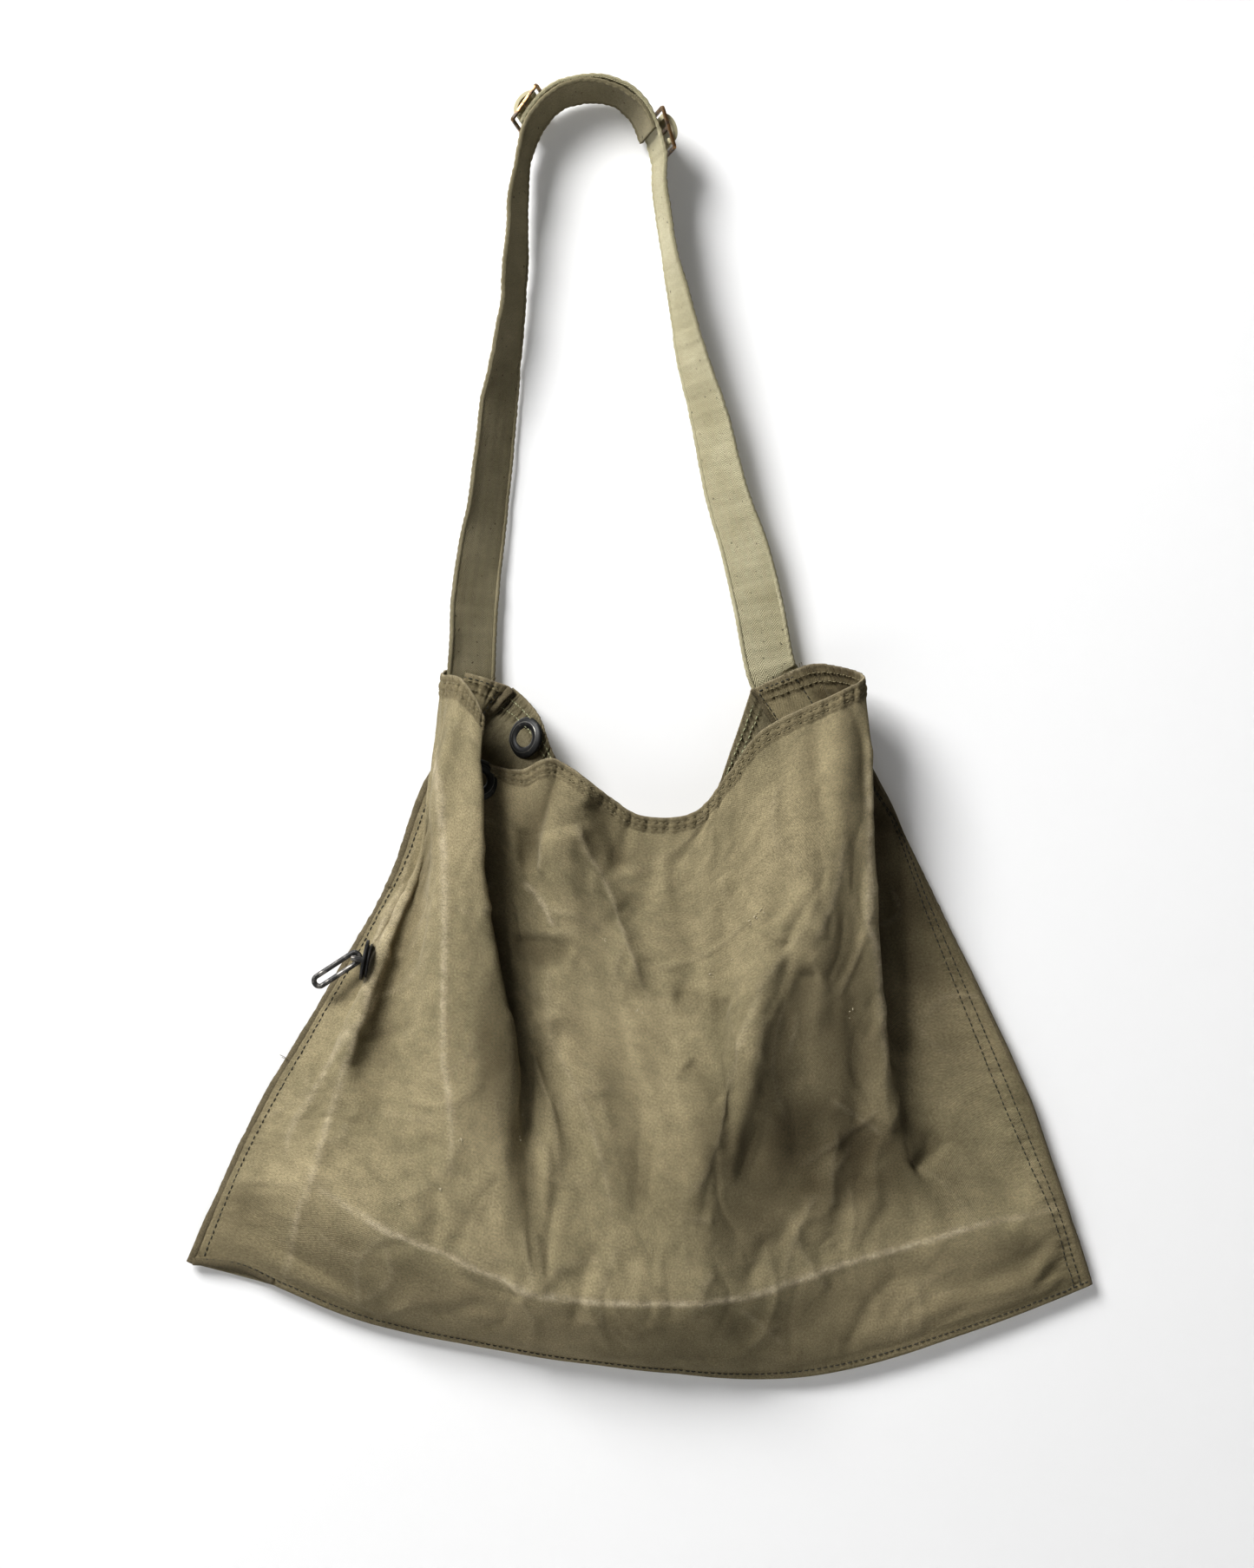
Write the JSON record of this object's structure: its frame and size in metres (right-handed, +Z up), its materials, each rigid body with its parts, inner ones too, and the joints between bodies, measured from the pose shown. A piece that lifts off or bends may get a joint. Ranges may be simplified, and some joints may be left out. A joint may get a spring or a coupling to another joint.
{
  "type": "mail sack",
  "caption": "Open-topped canvas mail sack with a webbing shoulder strap, two strap sliders, mouth grommets and a swinging lock link.",
  "frame": {"origin": "the hang point: under the crest of the strap, at the wall", "axes": "+X right, +Y back towards the wall, +Z up along the hanging sack"},
  "size_m": [0.6886, 0.0834, 0.9928],
  "materials": {
    "canvas": "faded heavy cotton canvas",
    "canvas_back": "faded heavy cotton canvas, inner face",
    "webbing": "woven cotton webbing with corded edges",
    "dark_thread": "dark waxed thread",
    "pale_thread": "olive thread",
    "binding": "folded brown canvas edge",
    "black_steel": "worn black enamel",
    "worn_steel": "blackened steel wire rubbed grey",
    "bronze": "dark tarnished brass"
  },
  "bodies": {
    "strap": {"strap_left_half": "webbing", "strap_right_half": "webbing"},
    "left_slider": {"left_slider_frame": "bronze", "left_slider_loop": "webbing"},
    "right_slider": {"right_slider_frame": "bronze", "right_slider_loop": "webbing"},
    "sack": {"front_cloth": "canvas", "back_panel": "canvas_back", "left_strap_tail": "webbing", "right_strap_tail": "webbing", "left_tail_stitching": "dark_thread", "right_tail_stitching": "dark_thread", "front_hem_stitching": "pale_thread", "back_hem_stitching": "pale_thread", "left_seam_stitching": "dark_thread", "right_seam_stitching": "dark_thread", "bottom_seam_stitching": "dark_thread", "left_seam_binding": "binding", "bottom_corner_binding": "binding", "back_grommet_barrel": "black_steel", "back_grommet_washer": "black_steel", "front_grommet_barrel": "black_steel", "front_grommet_washer": "black_steel", "staple_plate": "black_steel", "staple_bar": "black_steel", "staple_backing_plate": "black_steel"},
    "link": {"staple_link": "worn_steel"}
  },
  "joints": [
    {"name": "sack_swing", "type": "hinge", "parent": "strap", "child": "sack", "pos_m": [0.025, -0.015, -0.438], "axis": [1, 0, 0], "range_deg": [-45, 0]},
    {"name": "left_slider_slide", "type": "slide", "parent": "strap", "child": "left_slider", "axis": [0.571, 0, 0.821], "range_m": [-0.01, 0.004]},
    {"name": "right_slider_slide", "type": "slide", "parent": "strap", "child": "right_slider", "axis": [-0.29, 0, 0.957], "range_m": [-0.01, 0.004]},
    {"name": "link_swing", "type": "hinge", "parent": "sack", "child": "link", "pos_m": [-0.17733, -0.026, -0.6532], "axis": [0, 1, 0], "range_deg": [-25, 90]}
  ]
}
